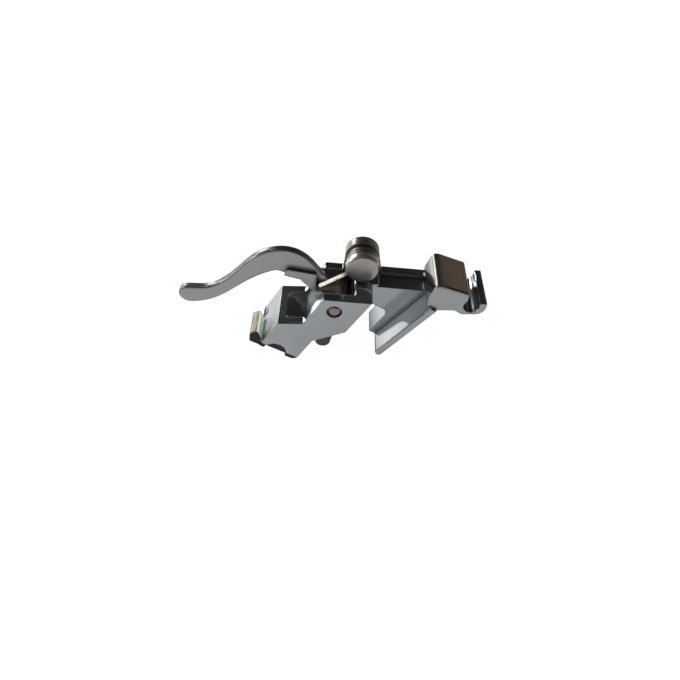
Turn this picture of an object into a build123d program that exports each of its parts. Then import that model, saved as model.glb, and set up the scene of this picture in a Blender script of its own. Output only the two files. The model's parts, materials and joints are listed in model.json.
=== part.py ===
"""Presser foot adapter: a plated body with a slanted clamp head and shank,
a foot-pin hook at the far end, and a sprung S-shaped lever on a cross pin.

Millimetres. The origin is the axis of the foot pin in its hook, at mid-width.
X runs along the body towards the hook, Y across its width, Z up through the hook's mouth.
The head and the shank lean over by the same angle, so they share one tilted sketch plane,
with U across the leaning parts and V along them, and its origin on the lever's pivot.
"""

import os
from math import acos, atan2, cos, degrees, radians, sin, sqrt, tan

from build123d import *

# Width across the body
body_width = 9.2
cheek_wall = 1.6
lever_side_play = 0.2

# Lean of the head and the shank, and fall of the roof towards the hook, in degrees
leg_lean = 32.0
roof_fall = 5.4
flange_flare = 6.0

# Lever pivot, from the foot pin
pivot_x = -21.8
pivot_z = -1.15
pivot_pin_d = 2.5
pin_fit = 0.06
pin_recess = 0.1
pin_rim = 0.45

# Clamp head, in U and V from the pivot
heel_back = 6.5
toe_front = 0.55
toe_length = 14.0
nape_back = 2.9
head_front = 4.1
brow_low = 8.1
brow_high = 3.2
nape_height = 1.45
nape_foot = 5.1
toe_wall = 1.2
roof_wall = 1.5
roof_start = 1.6
toe_round = 1.1
toe_scallop_r = 2.0
toe_scallop_u = -3.6
toe_plug_proud = 0.9
casting_round = 0.25

# Turned-up lip at the near half of the heel, and the hole beside it
lip_reach = 2.6
lip_foot = 1.9
lip_outer_rise = 1.65
lip_inner = 1.8
lip_inner_rise = 2.9
lip_pocket = 1.3
lip_inset = 0.3
lip_far = 0.6
lip_round = 0.3
heel_hole_d = 1.3
heel_hole_y = 2.2
heel_hole_rise = 1.6

# Shank: a plate with a slot beside the head, and a guide flange along its edge
shank_thick = 4.6
shank_foot = 4.6
tongue_edge = 9.9
slot_top = 1.2
slot_round = 1.0
flange_foot_u = 11.0
flange_thick = 1.2
flange_drop = 0.3
flange_rise = 9.0
flange_round = 0.5
beam_step = 0.6

# Foot-pin hook, in X and Z from the foot pin
foot_pin_d = 2.6
hook_inset = 0.6
block_overlap = 0.5
block_left_z = 1.8
block_crown = 4.35
block_run = 1.0
block_crown_flat = 0.9
hook_mouth = 0.6
block_brow = 2.57
hook_lip = 1.1
hook_lip_top = 0.62
hook_under = 1.75
block_under = 0.92
block_round = 0.6
brow_round = 0.3
hook_round = 0.4

# Spring post and its lug
post_x = -17.4
post_z = 4.19
post_head_d = 5.5
post_head_thick = 1.4
post_spindle_d = 3.5
post_tail_d = 2.0
post_edge = 0.55
post_back_edge = 0.2
lug_r = 2.75
lug_flare = 0.6
lug_foot = 4.4

# Torsion spring
wire_d = 0.6
wire_sides = 10
coil_play = 0.1
coil_turns = 2.0
coil_pitch = 0.66
spring_leg_y = -1.9
seat_play = 0.05
rear_leg_dip = 25.0

# Lever
blade_thick = 1.3
blade_edge = 0.25
hub_r = 2.3
seat_x = -2.4
seat_z = 2.1
seat_r = 0.8
jaw_r = 1.25
jaw_u = 2.9
jaw_v = -8.7
jaw_room = 0.9
arm_r = 1.5
arm_u = 0.5
arm_v = -1.6
web_thick = 0.6
tip_r = 1.75
tip_x = -24.15
tip_z = -0.35
web_left = -8.0
web_lead = 0.4
web_end = -2.9
web_rise = 1.0
web_drop = 0.25
web_round = 0.7
web_corner = (-8.3, 5.0)
web_heel = (-5.5, 3.9)
blade_back = ((-21.0, 1.45), (-15.9, 4.75), (-11.2, 8.75), (-7.6, 9.4), (-3.6, 7.0), (-1.8, 4.4))
blade_root = (-1.4, 2.9)
blade_belly = ((-20.0, -1.15), (-13.7, 3.1), (-10.2, 4.85))

half_width = body_width / 2
half_gap = half_width - cheek_wall
half_lever = half_gap - lever_side_play
u_axis = (cos(radians(leg_lean)), 0, -sin(radians(leg_lean)))
roof_slope = tan(radians(leg_lean - roof_fall))
shelf_slope = tan(radians(leg_lean))
flange_slope = tan(radians(flange_flare))
leg_plane = Plane(origin=(pivot_x, 0, pivot_z), x_dir=u_axis, z_dir=(0, -1, 0))
side_plane = Plane.XZ
pivot_plane = Plane(origin=(pivot_x, 0, pivot_z), x_dir=(1, 0, 0), z_dir=(0, -1, 0))


def roof_v(u):
    """Height of the sloping roof line over a point of the leaning plane."""
    return nape_height + (u + nape_back) * roof_slope


def flange_u(v):
    """Inner face of the guide flange at a height along the leaning plane."""
    return flange_foot_u + (v + shank_foot) * flange_slope


# Body: head, shank, hook and lug are one plated casting
with BuildPart() as body:
    # Clamp head
    with BuildSketch(leg_plane) as head_outline:
        with BuildLine():
            Polyline(
                (-heel_back, -toe_length),
                (toe_front, -toe_length),
                (toe_front, -brow_low),
                (head_front, -brow_high),
                (head_front, roof_v(head_front)),
                (-nape_back, nape_height),
                (-nape_back, -nape_foot),
                (-heel_back, -nape_foot - (heel_back - nape_back) * shelf_slope),
                close=True,
            )
        make_face()
        toe_corner = head_outline.vertices().group_by(Axis.Y)[0].sort_by(Axis.X)[-1]
        fillet(toe_corner, radius=toe_round)
    extrude(amount=half_width, both=True)

    # Hollow between the cheeks, open at the nape, at the brow and above the pivot
    with BuildSketch(leg_plane):
        with BuildLine():
            Polyline(
                (-heel_back + toe_wall, -toe_length + toe_wall),
                (toe_front - toe_wall, -toe_length + toe_wall),
                (toe_front - toe_wall, jaw_v - jaw_r - jaw_room),
                (head_front, jaw_v - jaw_r - jaw_room),
                (head_front + toe_wall, -brow_high),
                (head_front - toe_wall, -brow_high),
                (head_front - toe_wall, roof_v(head_front - toe_wall) - roof_wall),
                (roof_start, roof_v(roof_start) - roof_wall),
                (roof_start, roof_v(head_front)),
                (-heel_back + toe_wall, roof_v(head_front)),
                close=True,
            )
        make_face()
    extrude(amount=half_gap, both=True, mode=Mode.SUBTRACT)

    # Scallops in the toe, and the wall between them that stands a little proud
    with BuildSketch(leg_plane):
        with Locations((toe_scallop_u, -toe_length)):
            Circle(toe_scallop_r)
    extrude(amount=half_width, both=True, mode=Mode.SUBTRACT)
    with BuildSketch(leg_plane):
        with BuildLine():
            Polyline(
                (-heel_back, -toe_length - toe_plug_proud),
                (toe_front - toe_round, -toe_length - toe_plug_proud),
                (toe_front - toe_round, -toe_length + toe_wall),
                (-heel_back, -toe_length + toe_wall),
                close=True,
            )
        make_face()
    extrude(amount=half_gap, both=True)

    # Lip turned up from the foot of the heel, with a pocket between the two
    lip_near = half_width - lip_inset
    with BuildSketch(leg_plane.offset(lip_near)) as lip_outline:
        with BuildLine():
            Polyline(
                (-heel_back + toe_wall / 2, -toe_length),
                (-heel_back - lip_foot, -toe_length),
                (-heel_back - lip_reach, -toe_length + lip_outer_rise),
                (-heel_back - lip_inner, -toe_length + lip_inner_rise),
                (-heel_back, -toe_length + lip_pocket),
                (-heel_back + toe_wall / 2, -toe_length + lip_pocket),
                close=True,
            )
        make_face()
        fillet(lip_outline.vertices().group_by(Axis.X)[0:3], radius=lip_round)
    extrude(amount=-lip_near - lip_far)

    # Shank plate, with the slot between its tongue and the head
    with BuildSketch(leg_plane.offset(-half_width)) as shank_outline:
        with BuildLine():
            Polyline(
                (head_front - toe_wall / 2, roof_v(head_front - toe_wall / 2)),
                (flange_u(flange_rise), roof_v(flange_u(flange_rise))),
                (flange_u(-shank_foot) + flange_thick / 2, -shank_foot),
                (tongue_edge, -shank_foot),
                (tongue_edge, slot_top),
                (head_front - toe_wall / 2, slot_top),
                close=True,
            )
        make_face()
        slot_corner = shank_outline.vertices().sort_by_distance((tongue_edge, slot_top))[0]
        fillet(slot_corner, radius=slot_round)
    extrude(amount=shank_thick)

    # Step along the top of the shank plate, below the far cheek's edge
    with BuildSketch(leg_plane):
        with BuildLine():
            Polyline(
                (head_front + slot_round, roof_v(head_front + slot_round) - beam_step),
                (flange_u(flange_rise), roof_v(flange_u(flange_rise)) - beam_step),
                (flange_u(flange_rise), roof_v(flange_u(flange_rise)) + beam_step),
                (head_front + slot_round, roof_v(head_front + slot_round) + beam_step),
                close=True,
            )
        make_face()
    extrude(amount=-half_gap, mode=Mode.SUBTRACT)

    # Guide flange across the whole width
    with BuildSketch(leg_plane) as flange_outline:
        with BuildLine():
            Polyline(
                (flange_u(-shank_foot - flange_drop), -shank_foot - flange_drop),
                (flange_u(flange_rise), flange_rise),
                (flange_u(flange_rise) + flange_thick, flange_rise),
                (flange_u(-shank_foot - flange_drop) + flange_thick, -shank_foot - flange_drop),
                close=True,
            )
        make_face()
        fillet(flange_outline.vertices().group_by(Axis.Y)[0], radius=flange_round)
    extrude(amount=half_width, both=True)

    # Foot-pin hook: a wedge-topped block with a part-round groove and a thin lip
    groove_r = foot_pin_d / 2
    mouth_rise = sqrt(groove_r**2 - hook_mouth**2)
    lip_right = groove_r + hook_lip
    flange_top = leg_plane.from_local_coords((flange_u(flange_rise), flange_rise, 0))
    block_left = block_overlap - flange_top.X
    block_crown_x = block_left - block_run
    with BuildSketch(side_plane) as hook_outline:
        with BuildLine():
            block_top = Polyline(
                (-block_left, block_left_z),
                (-block_crown_x, block_crown),
                (-block_crown_x + block_crown_flat, block_crown),
                (-hook_mouth, block_brow),
                (-hook_mouth, mouth_rise),
            )
            groove = ThreePointArc(
                block_top @ 1,
                (-groove_r * cos(radians(45)), -groove_r * sin(radians(45))),
                (groove_r, 0),
            )
            lip_side = Polyline(
                groove @ 1,
                (groove_r, hook_lip_top),
                (lip_right, hook_lip_top),
                (lip_right, 0),
            )
            lip_belly = TangentArc(lip_side @ 1, (groove_r / 2, -hook_under), tangent=(0, -1))
            Polyline(
                lip_belly @ 1,
                (-groove_r, -hook_under),
                (-groove_r * 2, -block_under),
                (-block_crown_x + block_crown_flat / 2, -block_under),
                (-block_left, 0),
                (-block_left, block_left_z),
            )
        make_face()
        crown = hook_outline.vertices().group_by(Axis.Y)[-1]
        fillet(crown, radius=block_round)
        brow = hook_outline.vertices().sort_by_distance((-hook_mouth, block_brow))[0]
        fillet(brow, radius=brow_round)
    extrude(amount=half_width - hook_inset, both=True)

    # Lug that carries the spring post, rising from the far cheek
    with BuildSketch(side_plane.offset(-half_width)):
        with Locations((post_x, post_z)):
            Circle(lug_r)
            Polygon(
                (-lug_r, 0),
                (lug_r, 0),
                (lug_r + lug_flare, -lug_foot),
                (-lug_r - lug_flare, -lug_foot),
                align=None,
            )
    extrude(amount=cheek_wall)

    # Rounded edges of the casting: near cheek and flange, far cheek, top of the hook
    fillet(body.edges().group_by(Axis.Y)[0], radius=casting_round)
    far_rim = body.edges().group_by(Axis.Y)[-1]
    far_head = far_rim.filter_by_position(Axis.X, pivot_x - toe_length, post_x - lug_r)
    fillet(far_head, radius=casting_round)
    hook_ends = body.faces().filter_by(Axis.Y).filter_by_position(Axis.X, -block_crown_x, groove_r)
    fillet(
        hook_ends.edges().filter_by_position(Axis.Z, block_left_z, block_crown + block_round),
        radius=hook_round,
    )

    # Holes for the pivot pin, the spring post and the heel
    with Locations(leg_plane.offset(half_width)):
        Hole(pivot_pin_d / 2 + pin_fit / 2, depth=body_width)
    with Locations(Plane(origin=(post_x, half_width, post_z), z_dir=(0, 1, 0))):
        Hole(post_tail_d / 2 + pin_fit / 2, depth=cheek_wall)
    heel_plane = Plane(
        origin=leg_plane.from_local_coords((-heel_back, heel_hole_rise - toe_length, -heel_hole_y)),
        z_dir=(-u_axis[0], 0, -u_axis[2]),
    )
    with Locations(heel_plane):
        Hole(heel_hole_d / 2, depth=toe_wall)

body.part.label = "body"

# Pivot pin, riveted in the two cheeks
with BuildPart() as pivot_pin:
    with BuildSketch(pivot_plane):
        Circle(pivot_pin_d / 2)
    extrude(amount=half_width - pin_recess, both=True)
    chamfer(pivot_pin.edges().filter_by(GeomType.CIRCLE), length=pin_rim)

pivot_pin.part.label = "pivot_pin"

# Spring post: a wide flat head, a spindle for the coil and a riveted tail in the lug
post_plane = Plane(origin=(post_x, half_gap, post_z), x_dir=(1, 0, 0), z_dir=(0, -1, 0))
coil_room = wire_d + coil_pitch * coil_turns + 2 * coil_play
with BuildPart() as spring_post:
    with BuildSketch(post_plane):
        Circle(post_spindle_d / 2)
    extrude(amount=coil_room)
    with BuildSketch(post_plane.offset(coil_room)):
        Circle(post_head_d / 2)
    extrude(amount=post_head_thick)
    with BuildSketch(post_plane):
        Circle(post_tail_d / 2)
    extrude(amount=-cheek_wall)
    head_rims = spring_post.edges().filter_by(GeomType.CIRCLE).sort_by(SortBy.RADIUS)[-2:]
    fillet(head_rims.sort_by(Axis.Y)[0], radius=post_edge)
    chamfer(head_rims.sort_by(Axis.Y)[-1], length=post_back_edge)

spring_post.part.label = "spring_post"

# Lever: an S-shaped blade on a wide hub, with a web, a spring seat and a clamp jaw
half_blade = blade_thick / 2
with BuildPart() as lever:
    with BuildSketch(pivot_plane):
        with BuildLine():
            tip = ThreePointArc(
                (tip_x, tip_z - tip_r),
                (tip_x - tip_r, tip_z),
                (tip_x, tip_z + tip_r),
            )
            back = Spline(
                tip @ 1,
                *blade_back,
                blade_root,
                tangents=[(1, 0), (0.1, -1)],
            )
            belly = Spline(
                tip @ 0,
                *blade_belly,
                web_corner,
                tangents=[(1, 0), (1, -0.15)],
            )
            Polyline(belly @ 1, web_heel, (-hub_r, 0), (0, 0), back @ 1)
        make_face()
    extrude(amount=half_blade, both=True)
    blade_rims = lever.edges().filter_by(GeomType.BSPLINE) + lever.edges().filter_by(GeomType.CIRCLE)
    chamfer(blade_rims, length=blade_edge)

    # Web along the lower edge of the blade, on the near side
    with BuildSketch(pivot_plane.offset(half_blade)) as web_outline:
        with BuildLine():
            Polyline(
                (web_left, web_corner[1] - web_drop),
                (web_left + web_lead, web_corner[1] + web_rise),
                (web_end, web_corner[1]),
                (web_end, seat_z),
                (-hub_r, 0),
                web_heel,
                close=True,
            )
        make_face()
        fillet(web_outline.vertices().group_by(Axis.Y)[-1], radius=web_round)
    extrude(amount=web_thick)

    # Hub drawn out to the spring seat, filling the gap between the cheeks
    with BuildSketch(pivot_plane):
        Circle(hub_r)
        with Locations((seat_x, seat_z)):
            Circle(seat_r)
        make_hull()
    extrude(amount=half_lever, both=True)

    # Arm down to the jaw that bears on the presser bar
    with BuildSketch(leg_plane):
        with Locations((arm_u, arm_v)):
            Circle(arm_r)
        with Locations((jaw_u, jaw_v)):
            Circle(jaw_r)
        make_hull()
    extrude(amount=half_lever, both=True)

    with Locations(pivot_plane.offset(half_lever)):
        Hole(pivot_pin_d / 2 + pin_fit, depth=2 * half_lever)

lever.part.label = "lever"

# Torsion spring: a short coil on the post, one leg on the lever and one on the roof
coil_r = post_spindle_d / 2 + coil_play + wire_d / 2
coil_y = half_gap - coil_room + coil_play + wire_d / 2
tip_gap_z = pivot_z + seat_z + seat_r + wire_d / 2 + seat_play
leg_tip = Vector(pivot_x + seat_x, spring_leg_y, tip_gap_z)
to_tip = Vector(leg_tip.X - post_x, 0, leg_tip.Z - post_z)
start_angle = degrees(atan2(to_tip.Z, to_tip.X) + acos(coil_r / to_tip.length))
turn_angle = 360 * coil_turns - rear_leg_dip - 90 - start_angle
coil_start = Vector(
    post_x + coil_r * cos(radians(start_angle)),
    coil_y,
    post_z + coil_r * sin(radians(start_angle)),
)
coil_plane = Plane(
    origin=(post_x, coil_y, post_z),
    x_dir=(coil_start - Vector(post_x, coil_y, post_z)),
    z_dir=(0, 1, 0),
)
coil_rise = coil_pitch * turn_angle / 360
coil_path = coil_plane.location * Helix(coil_pitch, coil_rise, coil_r, lefthand=True)
coil_end = coil_path @ 1
clear_r = post_head_d / 2 + wire_d / 2 + coil_play
leg_level = Vector(leg_tip.X, coil_y, leg_tip.Z)
leg_bend = coil_start + (leg_level - coil_start).normalized() * sqrt(clear_r**2 - coil_r**2)
nape = leg_plane.from_local_coords((-nape_back, nape_height, 0))
roof_drop = tan(radians(roof_fall))
rear_room = coil_end.Z - nape.Z - wire_d / 2 - seat_play + (coil_end.X - nape.X) * roof_drop
rear_leg_length = rear_room / (sin(radians(rear_leg_dip)) - roof_drop * cos(radians(rear_leg_dip)))
rear_way = Vector(cos(radians(rear_leg_dip)), 0, -sin(radians(rear_leg_dip)))
legs = [
    (coil_start, leg_bend),
    (leg_bend, leg_tip),
    (coil_end, coil_end + rear_way * rear_leg_length),
]
with BuildPart() as lever_spring:
    with BuildLine():
        add(coil_path)
    with BuildSketch(Plane(origin=coil_start, z_dir=coil_path % 0)):
        RegularPolygon(wire_d / 2, wire_sides)
    sweep(path=coil_path, is_frenet=True)
    for root, end in legs:
        with BuildSketch(Plane(origin=root, z_dir=end - root)):
            Circle(wire_d / 2)
        extrude(amount=(end - root).length)
    with Locations(leg_bend):
        Sphere(wire_d / 2)

lever_spring.part.label = "lever_spring"

os.makedirs("parts", exist_ok=True)
for piece in (body, pivot_pin, spring_post, lever, lever_spring):
    export_step(piece.part, f"parts/{piece.part.label}.step")
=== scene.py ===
# Looks of the presser foot adapter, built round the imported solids
import json
import math

import bmesh
import bpy
from mathutils import Matrix, Vector

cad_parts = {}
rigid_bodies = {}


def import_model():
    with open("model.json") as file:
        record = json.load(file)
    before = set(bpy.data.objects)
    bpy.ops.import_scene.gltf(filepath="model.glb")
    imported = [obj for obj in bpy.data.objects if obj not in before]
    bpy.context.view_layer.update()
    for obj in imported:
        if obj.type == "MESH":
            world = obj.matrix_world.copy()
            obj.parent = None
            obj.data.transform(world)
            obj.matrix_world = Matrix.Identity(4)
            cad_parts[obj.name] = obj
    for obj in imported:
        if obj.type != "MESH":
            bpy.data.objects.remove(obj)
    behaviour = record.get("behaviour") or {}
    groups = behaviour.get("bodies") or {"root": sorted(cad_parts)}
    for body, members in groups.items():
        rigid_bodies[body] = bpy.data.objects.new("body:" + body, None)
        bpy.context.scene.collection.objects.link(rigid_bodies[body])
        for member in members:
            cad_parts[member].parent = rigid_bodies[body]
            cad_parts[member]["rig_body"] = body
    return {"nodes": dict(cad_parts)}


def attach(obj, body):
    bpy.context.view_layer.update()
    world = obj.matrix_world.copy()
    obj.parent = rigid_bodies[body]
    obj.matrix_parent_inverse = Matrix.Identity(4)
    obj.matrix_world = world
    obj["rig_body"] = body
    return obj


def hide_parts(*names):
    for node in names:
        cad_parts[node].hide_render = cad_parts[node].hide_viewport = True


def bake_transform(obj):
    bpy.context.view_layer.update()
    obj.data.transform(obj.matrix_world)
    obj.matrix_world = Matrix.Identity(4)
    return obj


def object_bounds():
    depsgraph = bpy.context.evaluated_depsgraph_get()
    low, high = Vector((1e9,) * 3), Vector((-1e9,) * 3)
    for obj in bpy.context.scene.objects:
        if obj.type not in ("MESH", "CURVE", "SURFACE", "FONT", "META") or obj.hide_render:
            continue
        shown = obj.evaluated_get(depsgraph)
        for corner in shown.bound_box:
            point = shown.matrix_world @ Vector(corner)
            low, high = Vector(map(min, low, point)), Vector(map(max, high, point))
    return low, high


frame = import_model()
cadLow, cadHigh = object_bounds()
nodes = frame["nodes"]
print("frame loaded:", ", ".join(sorted(nodes)))


def place(tree, kind, sockets, **settings):
    made = tree.nodes.new(kind)
    for name, value in settings.items():
        setattr(made, name, value)
    for name, value in sockets.items():
        if isinstance(value, bpy.types.NodeSocket):
            tree.links.new(value, made.inputs[name])
        else:
            made.inputs[name].default_value = value
    return made


def newGroup(name, kind, inputs, outputs):
    tree = bpy.data.node_groups.new(name, kind)
    for label, socketType in inputs:
        tree.interface.new_socket(label, in_out="INPUT", socket_type=socketType)
    for label, socketType in outputs:
        tree.interface.new_socket(label, in_out="OUTPUT", socket_type=socketType)
    return tree, tree.nodes.new("NodeGroupInput"), tree.nodes.new("NodeGroupOutput")


floatSocket, vectorSocket = "NodeSocketFloat", "NodeSocketVector"
grimeShadeSamples, edgeSamples = 16, 6
hazeFrom, hazeFull = 0.35, 0.7
roundY = (1.0, 0.0, 1.0)


# grain of a polishing wheel or a drawing die: noise drawn out along one way
def polishGrainGroup():
    tree, ends, out = newGroup(
        "polishGrain", "ShaderNodeTree",
        [("Stretch", vectorSocket), ("Scale", floatSocket)],
        [("Grain", floatSocket)],
    )
    coords = place(tree, "ShaderNodeTexCoord", {})
    drawn = place(
        tree, "ShaderNodeMapping",
        {"Vector": coords.outputs["Object"], "Scale": ends.outputs["Stretch"]},
    )
    noise = place(
        tree, "ShaderNodeTexNoise",
        {
            "Vector": drawn.outputs["Vector"], "Scale": ends.outputs["Scale"],
            "Detail": 4.0, "Roughness": 0.6,
        },
    )
    tree.links.new(noise.outputs["Fac"], out.inputs["Grain"])
    return tree


# soft clouds left by handling, which dull the polish a little
def handlingHazeGroup():
    tree, ends, out = newGroup(
        "handlingHaze", "ShaderNodeTree",
        [("Size", floatSocket), ("Low", floatSocket), ("High", floatSocket)],
        [("Haze", floatSocket)],
    )
    coords = place(tree, "ShaderNodeTexCoord", {})
    noise = place(
        tree, "ShaderNodeTexNoise",
        {
            "Vector": coords.outputs["Object"], "Scale": ends.outputs["Size"],
            "Detail": 3.0, "Distortion": 0.6,
        },
    )
    spread = place(
        tree, "ShaderNodeMapRange",
        {
            "Value": noise.outputs["Fac"], "From Min": hazeFrom, "From Max": hazeFull,
            "To Min": ends.outputs["Low"], "To Max": ends.outputs["High"],
        },
    )
    tree.links.new(spread.outputs["Result"], out.inputs["Haze"])
    return tree


# small dark pits of a casting, kept in a share of the cells only
def castPitsGroup():
    tree, ends, out = newGroup(
        "castPits", "ShaderNodeTree",
        [("Spacing", floatSocket), ("Size", floatSocket), ("Share", floatSocket)],
        [("Pit", floatSocket)],
    )
    coords = place(tree, "ShaderNodeTexCoord", {})
    cells = place(
        tree, "ShaderNodeTexVoronoi",
        {"Vector": coords.outputs["Object"], "Scale": ends.outputs["Spacing"], "Randomness": 1.0},
    )
    spot = place(
        tree, "ShaderNodeMath", {0: cells.outputs["Distance"], 1: ends.outputs["Size"]},
        operation="LESS_THAN",
    )
    draw = place(tree, "ShaderNodeSeparateColor", {"Color": cells.outputs["Color"]})
    kept = place(
        tree, "ShaderNodeMath", {0: draw.outputs["Red"], 1: ends.outputs["Share"]},
        operation="LESS_THAN",
    )
    both = place(
        tree, "ShaderNodeMath", {0: spot.outputs["Value"], 1: kept.outputs["Value"]},
        operation="MULTIPLY",
    )
    tree.links.new(both.outputs["Value"], out.inputs["Pit"])
    return tree


# rings left by a lathe tool, round an axis along Y through a given point
def turningRingsGroup():
    tree, ends, out = newGroup(
        "turningRings", "ShaderNodeTree",
        [("Centre", vectorSocket), ("Pitch", floatSocket)],
        [("Ring", floatSocket)],
    )
    coords = place(tree, "ShaderNodeTexCoord", {})
    fromAxis = place(
        tree, "ShaderNodeVectorMath",
        {0: coords.outputs["Object"], 1: ends.outputs["Centre"]}, operation="SUBTRACT",
    )
    flat = place(
        tree, "ShaderNodeVectorMath", {0: fromAxis.outputs["Vector"], 1: roundY},
        operation="MULTIPLY",
    )
    radius = place(tree, "ShaderNodeVectorMath", {0: flat.outputs["Vector"]}, operation="LENGTH")
    turns = place(
        tree, "ShaderNodeMath", {0: radius.outputs["Value"], 1: ends.outputs["Pitch"]},
        operation="DIVIDE",
    )
    noise = place(
        tree, "ShaderNodeTexNoise",
        {"W": turns.outputs["Value"], "Scale": 1.0, "Detail": 2.0}, noise_dimensions="1D",
    )
    tree.links.new(noise.outputs["Fac"], out.inputs["Ring"])
    return tree


# painted shade and grime in corners and cavities: 1 on open faces, falling to 0 inside
def recessGrimeAndShadeGroup():
    tree, ends, out = newGroup(
        "recessGrimeAndShade", "ShaderNodeTree",
        [("Reach", floatSocket), ("Depth", floatSocket)],
        [("Exposed", floatSocket)],
    )
    openness = place(
        tree, "ShaderNodeAmbientOcclusion", {"Distance": ends.outputs["Reach"]},
        only_local=True, samples=grimeShadeSamples,
    )
    exposed = place(
        tree, "ShaderNodeMath", {0: openness.outputs["AO"], 1: ends.outputs["Depth"]},
        operation="POWER",
    )
    tree.links.new(exposed.outputs["Value"], out.inputs["Exposed"])
    return tree


# zone between the cheeks, below a level and left of an end: 1 inside, 0 outside
def betweenCheeksGroup():
    tree, ends, out = newGroup(
        "betweenCheeks", "ShaderNodeTree",
        [("Level", floatSocket), ("Half Width", floatSocket), ("Right End", floatSocket)],
        [("Inside", floatSocket)],
    )
    coords = place(tree, "ShaderNodeTexCoord", {})
    spot = place(tree, "ShaderNodeSeparateXYZ", {"Vector": coords.outputs["Object"]})
    across = place(tree, "ShaderNodeMath", {0: spot.outputs["Y"]}, operation="ABSOLUTE")
    between = place(
        tree, "ShaderNodeMath", {0: across.outputs["Value"], 1: ends.outputs["Half Width"]},
        operation="LESS_THAN",
    )
    low = place(
        tree, "ShaderNodeMath", {0: spot.outputs["Z"], 1: ends.outputs["Level"]}, operation="LESS_THAN"
    )
    left = place(
        tree, "ShaderNodeMath", {0: spot.outputs["X"], 1: ends.outputs["Right End"]},
        operation="LESS_THAN",
    )
    inside = place(
        tree, "ShaderNodeMath", {0: between.outputs["Value"], 1: low.outputs["Value"]},
        operation="MULTIPLY",
    )
    both = place(
        tree, "ShaderNodeMath", {0: inside.outputs["Value"], 1: left.outputs["Value"]},
        operation="MULTIPLY",
    )
    tree.links.new(both.outputs["Value"], out.inputs["Inside"])
    return tree


# zone past a plane across the piece, soft over a short way: 0 before it, 1 past it
def pastPlaneGroup():
    tree, ends, out = newGroup(
        "pastPlane", "ShaderNodeTree",
        [("Way", vectorSocket), ("Start", floatSocket), ("Full", floatSocket)],
        [("Past", floatSocket)],
    )
    coords = place(tree, "ShaderNodeTexCoord", {})
    along = place(
        tree, "ShaderNodeVectorMath", {0: coords.outputs["Object"], 1: ends.outputs["Way"]},
        operation="DOT_PRODUCT",
    )
    sloped = place(
        tree, "ShaderNodeMapRange",
        {
            "Value": along.outputs["Value"],
            "From Min": ends.outputs["Start"], "From Max": ends.outputs["Full"],
        },
    )
    tree.links.new(sloped.outputs["Result"], out.inputs["Past"])
    return tree


polishGrain = polishGrainGroup()
handlingHaze = handlingHazeGroup()
castPits = castPitsGroup()
turningRings = turningRingsGroup()
recessGrimeAndShade = recessGrimeAndShadeGroup()
betweenCheeks = betweenCheeksGroup()
pastPlane = pastPlaneGroup()
print("shared finish groups ready")


# Helpers of the finishes, each reading its values from a piece's look
def useGroup(tree, group, sockets):
    made = tree.nodes.new("ShaderNodeGroup")
    made.node_tree = group
    for name, value in sockets.items():
        made.inputs[name].default_value = value
    return made


def newMetal(name, colour):
    finish = bpy.data.materials.new(name)
    finish.use_nodes = True
    tree = finish.node_tree
    shader = tree.nodes["Principled BSDF"]
    shader.inputs["Metallic"].default_value = 1.0
    shader.inputs["Base Color"].default_value = (*colour, 1.0)
    finish.diffuse_color = (*colour, 1.0)
    return finish, tree, shader


def mixColour(tree, factor, first, second):
    mix = place(tree, "ShaderNodeMix", {}, data_type="RGBA")
    tree.links.new(factor, mix.inputs["Factor"])
    for socket, value in ((mix.inputs[6], first), (mix.inputs[7], second)):
        if isinstance(value, bpy.types.NodeSocket):
            tree.links.new(value, socket)
        else:
            socket.default_value = (*value, 1.0)
    return mix.outputs[2]


def mixValue(tree, factor, first, second):
    mix = place(tree, "ShaderNodeMix", {"Factor": factor, "A": first, "B": second}, data_type="FLOAT")
    return mix.outputs["Result"]


def ramp(tree, value, start, full):
    sloped = place(tree, "ShaderNodeMapRange", {"Value": value, "From Min": start, "From Max": full})
    return sloped.outputs["Result"]


def hazeOf(tree, look):
    haze = useGroup(
        tree, handlingHaze,
        {"Size": look["hazeSize"], "Low": look["hazeLow"], "High": look["hazeHigh"]},
    )
    return haze.outputs["Haze"]


def grainOf(tree, look, grain):
    drawn = useGroup(
        tree, polishGrain, {"Stretch": look[grain + "Stretch"], "Scale": look[grain + "Scale"]}
    )
    return drawn.outputs["Grain"]


def zoneOf(tree, look, way, zone):
    past = useGroup(
        tree, pastPlane,
        {"Way": look[way], "Start": look[zone + "Start"], "Full": look[zone + "Full"]},
    )
    return past.outputs["Past"]


def exposureOf(tree, look, recess):
    exposure = useGroup(
        tree, recessGrimeAndShade, {"Reach": look[recess + "Reach"], "Depth": look[recess + "Depth"]}
    )
    return exposure.outputs["Exposed"]


def insideOf(tree, look, zone):
    between = useGroup(
        tree, betweenCheeks,
        {
            "Level": look[zone + "Level"], "Half Width": look["headHalf"],
            "Right End": look[zone + "Right"],
        },
    )
    return between.outputs["Inside"]


def addBump(tree, shader, height, distance, strength, edge):
    rounded = place(tree, "ShaderNodeBevel", {"Radius": edge}, samples=edgeSamples)
    bump = place(
        tree, "ShaderNodeBump",
        {
            "Height": height, "Distance": distance, "Strength": strength,
            "Normal": rounded.outputs["Normal"],
        },
    )
    tree.links.new(bump.outputs["Normal"], shader.inputs["Normal"])
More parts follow.
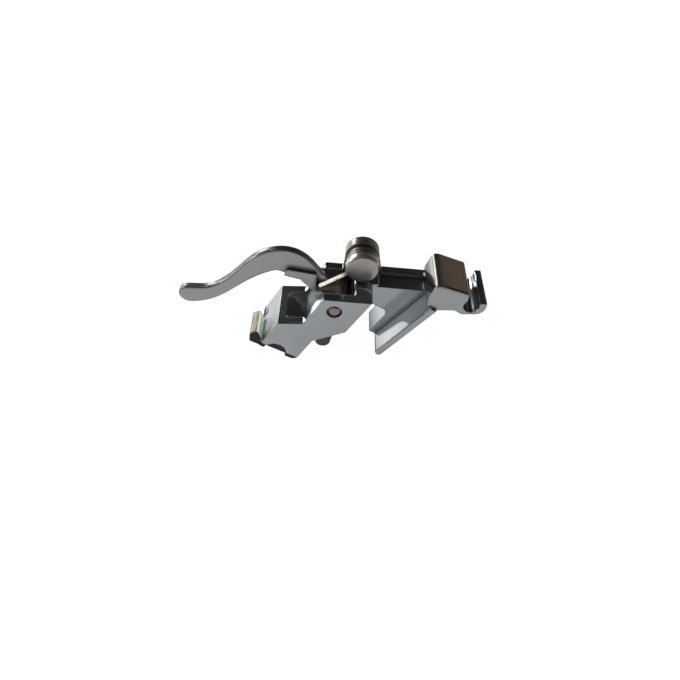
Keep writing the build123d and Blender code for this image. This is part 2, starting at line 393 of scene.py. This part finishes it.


# Plated casting: one bright finish, with zones of painted shade and painted reflection laid over it, and
# zones that are streaked, darker or duller
headLean = math.radians(32)
platedLook = {
    "colour": (0.53, 0.555, 0.575), "metal": 0.995,
    "pitColour": (0.10, 0.09, 0.085),
    "hazeSize": 260.0, "hazeLow": 0.10, "hazeHigh": 0.20,
    "pitSpacing": 900.0, "pitSize": 0.11, "pitShare": 0.08,
    "peelStretch": (1.0, 1.0, 1.0), "peelScale": 420.0,
    "peelDepth": 0.00004, "peelStrength": 0.35,
    "grimeShadeColour": (0.06, 0.055, 0.055), "grimeShadeReach": 0.0009, "grimeShadeDepth": 1.3,
    "headHalf": 0.00305,
    "underShadeColour": (0.022, 0.022, 0.028), "underShadeLevel": -0.0100, "underShadeRight": -0.0245,
    "hollowMetal": 0.2, "hollowReach": 0.006, "hollowDepth": 1.0,
    "hollowLevel": 0.002, "hollowRight": -0.0225,
    "toeWay": (-math.sin(headLean), 0.0, -math.cos(headLean)),
    "toeStart": 0.0255, "toeFull": 0.0257, "toeShadeColour": (0.035, 0.035, 0.042),
    "heelWay": (-math.cos(headLean), 0.0, math.sin(headLean)),
    "heelStart": 0.0242, "heelFull": 0.0243,
    "heelColour": (0.47, 0.495, 0.48), "heelRough": 0.46,
    "lipStart": 0.02446, "lipFull": 0.0248,
    "lipPale": (0.34, 0.295, 0.225), "lipDark": (0.07, 0.057, 0.042),
    "lipMetal": 0.95, "lipRough": 0.42,
    "endFrom": -0.6, "endFull": -0.9, "endShadeColour": (0.04, 0.04, 0.042),
    "pocketFrom": 0.1, "pocketFull": 0.4, "pocketLightColour": (0.80, 0.83, 0.80), "pocketMetal": 0.25,
    "crownWay": (0.30, 0.0, 0.954), "crownStart": 0.0018, "crownFull": 0.0021,
    "crownStretch": (1.0, 0.12, 1.0), "crownScale": 2400.0,
    "crownReflectionPale": (0.68, 0.61, 0.52), "crownReflectionDark": (0.30, 0.26, 0.21),
    "lugWay": (0.0, 0.0, 1.0), "lugStart": 0.0036, "lugFull": 0.0044,
    "lugColour": (0.30, 0.27, 0.25), "lugRough": 0.36,
    "edge": 0.00036,
}


def platedFinish(look):
    finish, tree, shader = newMetal("plated_casting", look["colour"])
    pits = useGroup(
        tree, castPits,
        {"Spacing": look["pitSpacing"], "Size": look["pitSize"], "Share": look["pitShare"]},
    )
    onHeel, onLip = zoneOf(tree, look, "heelWay", "heel"), zoneOf(tree, look, "heelWay", "lip")
    onLug = zoneOf(tree, look, "lugWay", "lug")
    surface = place(tree, "ShaderNodeNewGeometry", {})
    sides = place(tree, "ShaderNodeSeparateXYZ", {"Vector": surface.outputs["Normal"]})
    # painted shade on faces turned towards -Y
    shadedEnd = ramp(tree, sides.outputs["Y"], look["endFrom"], look["endFull"])
    # painted light on faces turned towards +X
    litPocket = ramp(tree, sides.outputs["X"], look["pocketFrom"], look["pocketFull"])
    streaks = grainOf(tree, look, "crown")

    # the lip: streaked on top, with painted shade on its end faces and painted light on the faces in the
    # pocket behind it
    lip = mixColour(tree, streaks, look["lipDark"], look["lipPale"])
    lip = mixColour(tree, shadedEnd, lip, look["endShadeColour"])
    lip = mixColour(tree, litPocket, lip, look["pocketLightColour"])

    # the colour, from the clean plating to the zones that lie over it
    # painted reflection on the block's top: brown streaks
    crown = mixColour(tree, streaks, look["crownReflectionDark"], look["crownReflectionPale"])
    colour = mixColour(tree, pits.outputs["Pit"], look["colour"], look["pitColour"])
    # painted shade and grime darken corners and recesses
    colour = mixColour(tree, exposureOf(tree, look, "grimeShade"), look["grimeShadeColour"], colour)
    # painted shade low between the cheeks at the toe
    colour = mixColour(tree, insideOf(tree, look, "underShade"), colour, look["underShadeColour"])
    colour = mixColour(tree, onHeel, colour, look["heelColour"])
    # painted shade on the toe's end, past a plane
    colour = mixColour(tree, zoneOf(tree, look, "toeWay", "toe"), colour, look["toeShadeColour"])
    colour = mixColour(tree, zoneOf(tree, look, "crownWay", "crown"), colour, crown)
    colour = mixColour(tree, onLug, colour, look["lugColour"])
    colour = mixColour(tree, onLip, colour, lip)
    tree.links.new(colour, shader.inputs["Base Color"])

    # duller metal deep in the head and in the pocket
    headMetal = mixValue(tree, insideOf(tree, look, "hollow"), look["metal"], look["hollowMetal"])
    castMetal = mixValue(tree, exposureOf(tree, look, "hollow"), headMetal, look["metal"])
    lipMetal = mixValue(tree, litPocket, look["lipMetal"], look["pocketMetal"])
    metal = mixValue(tree, onLip, castMetal, lipMetal)
    tree.links.new(metal, shader.inputs["Metallic"])

    castRough = mixValue(tree, onLug, hazeOf(tree, look), look["lugRough"])
    heelRough = mixValue(tree, onLip, look["heelRough"], look["lipRough"])
    tree.links.new(mixValue(tree, onHeel, castRough, heelRough), shader.inputs["Roughness"])
    peel = grainOf(tree, look, "peel")
    addBump(tree, shader, peel, look["peelDepth"], look["peelStrength"], look["edge"])
    return finish


# Lever: tumbled flat faces, rounded edges with painted shade
leverLook = {
    "faceColour": (0.45, 0.45, 0.455),
    "edgeShadeColour": (0.205, 0.192, 0.182),
    "faceRough": 0.36, "edgeRough": 0.34, "faceFrom": 0.6, "faceFull": 0.97,
    "grainStretch": (1.0, 1.0, 3.0), "grainScale": 2600.0,
    "grainDepth": 0.00002, "grainStrength": 0.35,
    "grimeShadeColour": (0.06, 0.06, 0.065), "grimeShadeReach": 0.0010, "grimeShadeDepth": 1.3,
    "headHalf": 0.003,
    "underShadeColour": (0.12, 0.124, 0.14), "underShadeLevel": -0.0062, "underShadeRight": 0.0,
    "edge": 0.0005,
}


def leverFinish(look):
    finish, tree, shader = newMetal("tumbled_lever", look["faceColour"])
    surface = place(tree, "ShaderNodeNewGeometry", {})
    sides = place(tree, "ShaderNodeSeparateXYZ", {"Vector": surface.outputs["Normal"]})
    across = place(tree, "ShaderNodeMath", {0: sides.outputs["Y"]}, operation="ABSOLUTE")
    onFace = ramp(tree, across.outputs["Value"], look["faceFrom"], look["faceFull"])
    # painted shade on the rounded edges, chosen by the normal
    colour = mixColour(tree, onFace, look["edgeShadeColour"], look["faceColour"])
    # painted shade and grime darken corners and recesses
    colour = mixColour(tree, exposureOf(tree, look, "grimeShade"), look["grimeShadeColour"], colour)
    # painted shade on the jaw, low between the cheeks
    colour = mixColour(tree, insideOf(tree, look, "underShade"), colour, look["underShadeColour"])
    tree.links.new(colour, shader.inputs["Base Color"])
    tree.links.new(mixValue(tree, onFace, look["edgeRough"], look["faceRough"]), shader.inputs["Roughness"])
    grain = grainOf(tree, look, "grain")
    addBump(tree, shader, grain, look["grainDepth"], look["grainStrength"], look["edge"])
    return finish


# Turned pieces: the post and the pin
postLook = {
    "name": "turned_post", "colour": (0.64, 0.59, 0.58), "dark": (0.53, 0.485, 0.475),
    "centre": (-0.0174, 0.0, 0.00419), "pitch": 0.00016,
    "hazeSize": 500.0, "hazeLow": 0.30, "hazeHigh": 0.42,
    "ringDepth": 0.00003, "ringStrength": 0.5, "edge": 0.00012,
}
pinLook = {
    "name": "ground_pin", "colour": (0.42, 0.36, 0.355), "dark": (0.33, 0.28, 0.275),
    "centre": (-0.0218, 0.0, -0.00115), "pitch": 0.00012,
    "hazeSize": 700.0, "hazeLow": 0.26, "hazeHigh": 0.36,
    "ringDepth": 0.00002, "ringStrength": 0.4, "edge": 0.00008,
}


def turnedFinish(look):
    finish, tree, shader = newMetal(look["name"], look["colour"])
    rings = useGroup(tree, turningRings, {"Centre": look["centre"], "Pitch": look["pitch"]})
    colour = mixColour(tree, rings.outputs["Ring"], look["dark"], look["colour"])
    tree.links.new(colour, shader.inputs["Base Color"])
    tree.links.new(hazeOf(tree, look), shader.inputs["Roughness"])
    addBump(tree, shader, rings.outputs["Ring"], look["ringDepth"], look["ringStrength"], look["edge"])
    return finish


# Spring wire
wireLook = {
    "colour": (0.93, 0.87, 0.76), "darkShare": 0.8, "metal": 0.35, "oilShadeMetal": 1.0,
    "hazeSize": 900.0, "hazeLow": 0.28, "hazeHigh": 0.40,
    "grainStretch": (0.2, 1.0, 1.0), "grainScale": 5000.0,
    "grainDepth": 0.00001, "grainStrength": 0.3, "edge": 0.00004,
    "oilShadeWay": (0.0, 1.0, 0.0), "oilShadeStart": 0.0003, "oilShadeFull": 0.0012,
    "oilShadeColour": (0.32, 0.30, 0.28),
}


def wireFinish(look):
    finish, tree, shader = newMetal("spring_wire", look["colour"])
    grain = grainOf(tree, look, "grain")
    # painted shade and oil on the coil, past a plane along Y
    oiledAndShaded = zoneOf(tree, look, "oilShadeWay", "oilShade")
    darker = tuple(look["darkShare"] * part for part in look["colour"])
    drawn = mixColour(tree, grain, darker, look["colour"])
    colour = mixColour(tree, oiledAndShaded, drawn, look["oilShadeColour"])
    tree.links.new(colour, shader.inputs["Base Color"])
    tree.links.new(mixValue(tree, oiledAndShaded, look["metal"], look["oilShadeMetal"]), shader.inputs["Metallic"])
    tree.links.new(hazeOf(tree, look), shader.inputs["Roughness"])
    addBump(tree, shader, grain, look["grainDepth"], look["grainStrength"], look["edge"])
    return finish


finishes = {
    "body": platedFinish(platedLook),
    "lever": leverFinish(leverLook),
    "spring_post": turnedFinish(postLook),
    "pivot_pin": turnedFinish(pinLook),
    "lever_spring": wireFinish(wireLook),
}
print("finishes:", ", ".join(finish.name for finish in finishes.values()))


# Rigid pieces: the solids again, smooth over their curves and flat on their faces
pieces = {
    "body": {"piece": "plated_casting", "slot": "plated_body"},
    "lever": {"piece": "lever_blade", "slot": "satin_lever"},
    "spring_post": {"piece": "post_turned", "slot": "turned_steel"},
    "pivot_pin": {"piece": "pin_ground", "slot": "pin_steel"},
}
weldGap = 1e-6
flatAngle = math.radians(0.6)
sharpAngle = math.radians(40)
flatWeight = 80


def meshOf(obj):
    graph = bpy.context.evaluated_depsgraph_get()
    return bpy.data.meshes.new_from_object(obj.evaluated_get(graph))


def settle(obj, finish):
    mesh = meshOf(obj)
    obj.modifiers.clear()
    obj.data = mesh
    mesh.materials.clear()
    mesh.materials.append(finish)
    return obj


def smoothPiece(node, plan):
    mesh = nodes[node].data.copy()
    shape = bmesh.new()
    shape.from_mesh(mesh)
    bmesh.ops.remove_doubles(shape, verts=shape.verts, dist=weldGap)
    bmesh.ops.dissolve_limit(shape, angle_limit=flatAngle, verts=shape.verts, edges=shape.edges)
    for face in shape.faces:
        face.smooth = True
    for edge in shape.edges:
        edge.smooth = edge.calc_face_angle(0.0) < sharpAngle
    shape.to_mesh(mesh)
    shape.free()
    piece = bpy.data.objects.new(plan["piece"], mesh)
    bpy.context.scene.collection.objects.link(piece)
    flats = piece.modifiers.new("flatFaces", "WEIGHTED_NORMAL")
    flats.weight = flatWeight
    flats.keep_sharp = True
    settle(piece, finishes[node])
    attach(piece, nodes[node]["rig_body"])
    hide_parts(node)
    return piece


for node, plan in pieces.items():
    piece = smoothPiece(node, plan)
    print(f"{piece.name}: {len(piece.data.polygons)} faces")


# Torsion spring: a wire path of one coil and two legs, grown by nodes
spring = {
    "centre": (-0.0174, 0.00128, 0.00419),
    "coilRadius": 0.00215, "wireRadius": 0.0003, "pitch": 0.00066,
    "startAngle": math.radians(-90.5), "turn": math.radians(695.5),
    "legTip": (-0.0242, -0.0019, 0.00210),
    "legBend": (-0.01972, 0.00128, 0.00206),
    "rearLeg": 0.00227, "rearDip": math.radians(25),
    "coilPoints": 120, "legPoints": 14, "joinGap": 0.00002,
    "bendRadius": 0.0004, "bendPoints": 4, "wireSides": 20,
}


def springTree(finish):
    tree, ends, out = newGroup(
        "lever_spring", "GeometryNodeTree",
        [
            ("Centre", vectorSocket), ("Coil Radius", floatSocket), ("Wire Radius", floatSocket),
            ("Pitch", floatSocket), ("Start Angle", floatSocket), ("Turn", floatSocket),
            ("Leg Tip", vectorSocket), ("Leg Bend", vectorSocket), ("Coil Start", vectorSocket),
            ("Coil End", vectorSocket), ("Rear End", vectorSocket), ("Bend Radius", floatSocket),
        ],
        [("Geometry", "NodeSocketGeometry")],
    )
    given = ends.outputs
    index = place(tree, "GeometryNodeInputIndex", {})
    share = place(
        tree, "ShaderNodeMath", {0: index.outputs[0], 1: spring["coilPoints"] - 1.0}, operation="DIVIDE"
    )
    swept = place(tree, "ShaderNodeMath", {0: share.outputs[0], 1: given["Turn"]}, operation="MULTIPLY")
    angle = place(tree, "ShaderNodeMath", {0: swept.outputs[0], 1: given["Start Angle"]}, operation="ADD")
    along = place(tree, "ShaderNodeMath", {0: angle.outputs[0]}, operation="COSINE")
    upward = place(tree, "ShaderNodeMath", {0: angle.outputs[0]}, operation="SINE")
    turns = place(tree, "ShaderNodeMath", {0: swept.outputs[0], 1: math.tau}, operation="DIVIDE")
    inward = place(tree, "ShaderNodeMath", {0: turns.outputs[0], 1: given["Pitch"]}, operation="MULTIPLY")
    x = place(tree, "ShaderNodeMath", {0: along.outputs[0], 1: given["Coil Radius"]}, operation="MULTIPLY")
    z = place(tree, "ShaderNodeMath", {0: upward.outputs[0], 1: given["Coil Radius"]}, operation="MULTIPLY")
    local = place(
        tree, "ShaderNodeCombineXYZ", {"X": x.outputs[0], "Y": inward.outputs[0], "Z": z.outputs[0]}
    )
    point = place(
        tree, "ShaderNodeVectorMath", {0: local.outputs[0], 1: given["Centre"]}, operation="ADD"
    )
    coilLine = place(tree, "GeometryNodeMeshLine", {"Count": spring["coilPoints"]})
    coil = place(
        tree, "GeometryNodeSetPosition",
        {"Geometry": coilLine.outputs["Mesh"], "Position": point.outputs["Vector"]},
    )
    path = tree.nodes.new("GeometryNodeJoinGeometry")
    tree.links.new(coil.outputs["Geometry"], path.inputs["Geometry"])
    runs = (("Leg Tip", "Leg Bend"), ("Leg Bend", "Coil Start"), ("Coil End", "Rear End"))
    for first, last in runs:
        leg = place(
            tree, "GeometryNodeMeshLine",
            {"Count": spring["legPoints"], "Start Location": given[first], "Offset": given[last]},
            mode="END_POINTS",
        )
        tree.links.new(leg.outputs["Mesh"], path.inputs["Geometry"])
    joined = place(
        tree, "GeometryNodeMergeByDistance",
        {"Geometry": path.outputs["Geometry"], "Distance": spring["joinGap"]},
    )
    curve = place(tree, "GeometryNodeMeshToCurve", {"Mesh": joined.outputs["Geometry"]})
    bent = place(
        tree, "GeometryNodeFilletCurve",
        {
            "Curve": curve.outputs["Curve"], "Count": spring["bendPoints"],
            "Radius": given["Bend Radius"], "Limit Radius": True,
        },
        mode="POLY",
    )
    ring = place(
        tree, "GeometryNodeCurvePrimitiveCircle",
        {"Resolution": spring["wireSides"], "Radius": given["Wire Radius"]},
    )
    wire = place(
        tree, "GeometryNodeCurveToMesh",
        {"Curve": bent.outputs["Curve"], "Profile Curve": ring.outputs["Curve"], "Fill Caps": True},
    )
    smooth = place(tree, "GeometryNodeSetShadeSmooth", {"Geometry": wire.outputs["Mesh"]})
    solid = place(tree, "GeometryNodeRealizeInstances", {"Geometry": smooth.outputs["Geometry"]})
    dressed = place(
        tree, "GeometryNodeSetMaterial", {"Geometry": solid.outputs["Geometry"], "Material": finish}
    )
    tree.links.new(dressed.outputs["Geometry"], out.inputs["Geometry"])
    return tree


def coilPoint(turned):
    angle = spring["startAngle"] + turned
    spoke = Vector((math.cos(angle), 0.0, math.sin(angle))) * spring["coilRadius"]
    return Vector(spring["centre"]) + spoke + Vector((0, spring["pitch"] * turned / math.tau, 0))


def buildSpring():
    tree = springTree(finishes["lever_spring"])
    coilEnd = coilPoint(spring["turn"])
    rearWay = Vector((math.cos(spring["rearDip"]), 0.0, -math.sin(spring["rearDip"])))
    values = {
        "Centre": spring["centre"], "Coil Radius": spring["coilRadius"],
        "Wire Radius": spring["wireRadius"], "Pitch": spring["pitch"],
        "Start Angle": spring["startAngle"], "Turn": spring["turn"],
        "Leg Tip": spring["legTip"], "Leg Bend": spring["legBend"],
        "Coil Start": coilPoint(0.0), "Coil End": coilEnd,
        "Rear End": coilEnd + rearWay * spring["rearLeg"], "Bend Radius": spring["bendRadius"],
    }
    piece = bpy.data.objects.new("torsion_spring", bpy.data.meshes.new("torsion_spring"))
    bpy.context.scene.collection.objects.link(piece)
    grown = piece.modifiers.new("springWire", "NODES")
    grown.node_group = tree
    for item in tree.interface.items_tree:
        if item.in_out == "INPUT":
            grown[item.identifier] = values[item.name]
    settle(piece, finishes["lever_spring"])
    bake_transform(piece)
    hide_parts("lever_spring")
    print(f"{piece.name}: {len(piece.data.polygons)} faces")


buildSpring()


# Floor: pale paper, pure white to the camera with a faint shadow left on it; in reflections it carries
# painted shade, darker in front, and a painted shadow behind the part
floorLook = {
    "half": 1.5, "gap": 0.0002,
    "nearTone": 0.26, "farTone": 0.60, "nearY": -0.010, "farY": 0.020,
    "openX": -0.030, "shadedX": -0.021, "shadedY": 0.0, "shadedShare": 0.30,
    "paper": 0.9, "shadowShare": 0.10, "white": 1.04,
}


def buildFloor(look):
    half, level = look["half"], cadLow.z - look["gap"]
    corners = [(-half, -half, level), (half, -half, level), (half, half, level), (-half, half, level)]
    mesh = bpy.data.meshes.new("floor")
    mesh.from_pydata(corners, [], [(0, 1, 2, 3)])
    floor = bpy.data.objects.new("floor", mesh)
    bpy.context.scene.collection.objects.link(floor)
    paper = bpy.data.materials.new("floor_paper")
    paper.use_nodes = True
    tree = paper.node_tree
    tree.nodes.clear()
    coords = place(tree, "ShaderNodeTexCoord", {})
    spot = place(tree, "ShaderNodeSeparateXYZ", {"Vector": coords.outputs["Object"]})
    # painted shade for reflections only: darker towards the front, with a painted shadow under and behind
    # the part
    tone = place(
        tree, "ShaderNodeMapRange",
        {
            "Value": spot.outputs["Y"], "From Min": look["nearY"], "From Max": look["farY"],
            "To Min": look["nearTone"], "To Max": look["farTone"],
        },
    )
    shade = place(
        tree, "ShaderNodeMapRange",
        {
            "Value": spot.outputs["X"], "From Min": look["openX"], "From Max": look["shadedX"],
            "To Min": 1.0, "To Max": look["shadedShare"],
        },
    )
    behind = place(
        tree, "ShaderNodeMapRange",
        {
            "Value": spot.outputs["Y"], "From Min": look["nearY"], "From Max": look["shadedY"],
            "To Min": 1.0, "To Max": shade.outputs["Result"],
        },
    )
    graded = place(
        tree, "ShaderNodeMath", {0: tone.outputs["Result"], 1: behind.outputs["Result"]},
        operation="MULTIPLY",
    )
    matte = place(tree, "ShaderNodeBsdfDiffuse", {"Color": graded.outputs["Value"]})
    glow = place(tree, "ShaderNodeEmission", {"Color": (1, 1, 1, 1), "Strength": look["white"]})
    shadowed = place(tree, "ShaderNodeBsdfDiffuse", {"Color": (look["paper"],) * 3 + (1.0,)})
    white = place(
        tree, "ShaderNodeMixShader",
        {0: look["shadowShare"], 1: glow.outputs["Emission"], 2: shadowed.outputs["BSDF"]},
    )
    rays = place(tree, "ShaderNodeLightPath", {})
    seen = place(
        tree, "ShaderNodeMixShader",
        {0: rays.outputs["Is Camera Ray"], 1: matte.outputs["BSDF"], 2: white.outputs["Shader"]},
    )
    place(tree, "ShaderNodeOutputMaterial", {"Surface": seen.outputs["Shader"]})
    mesh.materials.append(paper)


buildFloor(floorLook)


# Light: a dim room over the paper, with soft panels
roomLook = {"upper": 0.009, "horizon": 0.30, "fill": 0.75, "horizonEnd": 0.35}
panels = {
    "key_panel": {"at": (-0.16, -0.10, 0.22), "size": (0.10, 0.06), "power": 0.9, "mirrored": False},
    "spark_panel": {"at": (-0.16, -0.10, 0.24), "size": (0.03, 0.02), "power": 0.05},
    "shelf_panel": {"at": (-0.066, 0.21, 0.20), "size": (0.03, 0.06), "power": 0.0002},
    "left_panel": {"at": (-0.26, 0.02, 0.09), "size": (0.10, 0.05), "power": 0.22},
    "back_panel": {"at": (-0.20, 0.22, 0.10), "size": (0.10, 0.03), "power": 0.25},
    "brown_panel": {
        "at": (0.14, 0.17, 0.12), "size": (0.10, 0.08), "power": 0.003, "tint": (1.0, 0.78, 0.56),
    },
    "right_panel": {"at": (0.16, -0.05, 0.16), "size": (0.05, 0.05), "power": 0.15, "mirrored": False},
}
aim = (cadLow + cadHigh) / 2


def buildRoom(look):
    world = bpy.data.worlds.new("dim_room")
    bpy.context.scene.world = world
    world.use_nodes = True
    tree = world.node_tree
    tree.nodes.clear()
    coords = place(tree, "ShaderNodeTexCoord", {})
    way = place(tree, "ShaderNodeSeparateXYZ", {"Vector": coords.outputs["Generated"]})
    shade = place(
        tree, "ShaderNodeMapRange",
        {
            "Value": way.outputs["Z"], "From Min": 0.0, "From Max": look["horizonEnd"],
            "To Min": look["horizon"], "To Max": look["upper"],
        },
    )
    room = place(tree, "ShaderNodeBackground", {"Color": shade.outputs["Result"], "Strength": 1.0})
    fill = place(tree, "ShaderNodeBackground", {"Color": (1, 1, 1, 1), "Strength": look["fill"]})
    rays = place(tree, "ShaderNodeLightPath", {})
    lit = place(
        tree, "ShaderNodeMixShader",
        {0: rays.outputs["Is Glossy Ray"], 1: fill.outputs["Background"], 2: room.outputs["Background"]},
    )
    plain = place(tree, "ShaderNodeBackground", {"Color": (1, 1, 1, 1), "Strength": 1.0})
    seen = place(
        tree, "ShaderNodeMixShader",
        {0: rays.outputs["Is Camera Ray"], 1: lit.outputs["Shader"], 2: plain.outputs["Background"]},
    )
    place(tree, "ShaderNodeOutputWorld", {"Surface": seen.outputs["Shader"]})


def buildPanel(name, plan):
    light = bpy.data.lights.new(name, "AREA")
    light.shape = "RECTANGLE"
    light.size, light.size_y = plan["size"]
    light.energy = plan["power"]
    light.color = plan.get("tint", (1.0, 1.0, 1.0))
    panel = bpy.data.objects.new(name, light)
    panel.location = plan["at"]
    panel.rotation_euler = (aim - panel.location).to_track_quat("-Z", "Y").to_euler()
    panel.visible_glossy = plan.get("mirrored", True)
    bpy.context.scene.collection.objects.link(panel)


buildRoom(roomLook)
for name, plan in panels.items():
    buildPanel(name, plan)
print("floor, room and panels ready")


# Camera: fitted to the photograph's view, square frame
shot = {
    "at": (-0.01946, -0.07197, 0.06749),
    "forward": (-0.0141, 0.6670, -0.7450),
    "focalPixels": 600.0, "framePixels": 680.0, "sensor": 36.0, "clip": (0.001, 10.0),
}


def buildCamera(plan):
    lens = bpy.data.cameras.new("camera")
    lens.sensor_width = plan["sensor"]
    lens.lens = plan["sensor"] * plan["focalPixels"] / plan["framePixels"]
    lens.clip_start, lens.clip_end = plan["clip"]
    camera = bpy.data.objects.new("camera", lens)
    back = -Vector(plan["forward"]).normalized()
    right = Vector((0, 0, 1)).cross(back).normalized()
    turned = Matrix((right, back.cross(right), back)).transposed()
    camera.matrix_world = Matrix.Translation(plan["at"]) @ turned.to_4x4()
    bpy.context.scene.collection.objects.link(camera)
    bpy.context.scene.camera = camera


buildCamera(shot)
bpy.context.scene.view_settings.view_transform = "Standard"
print("camera set")
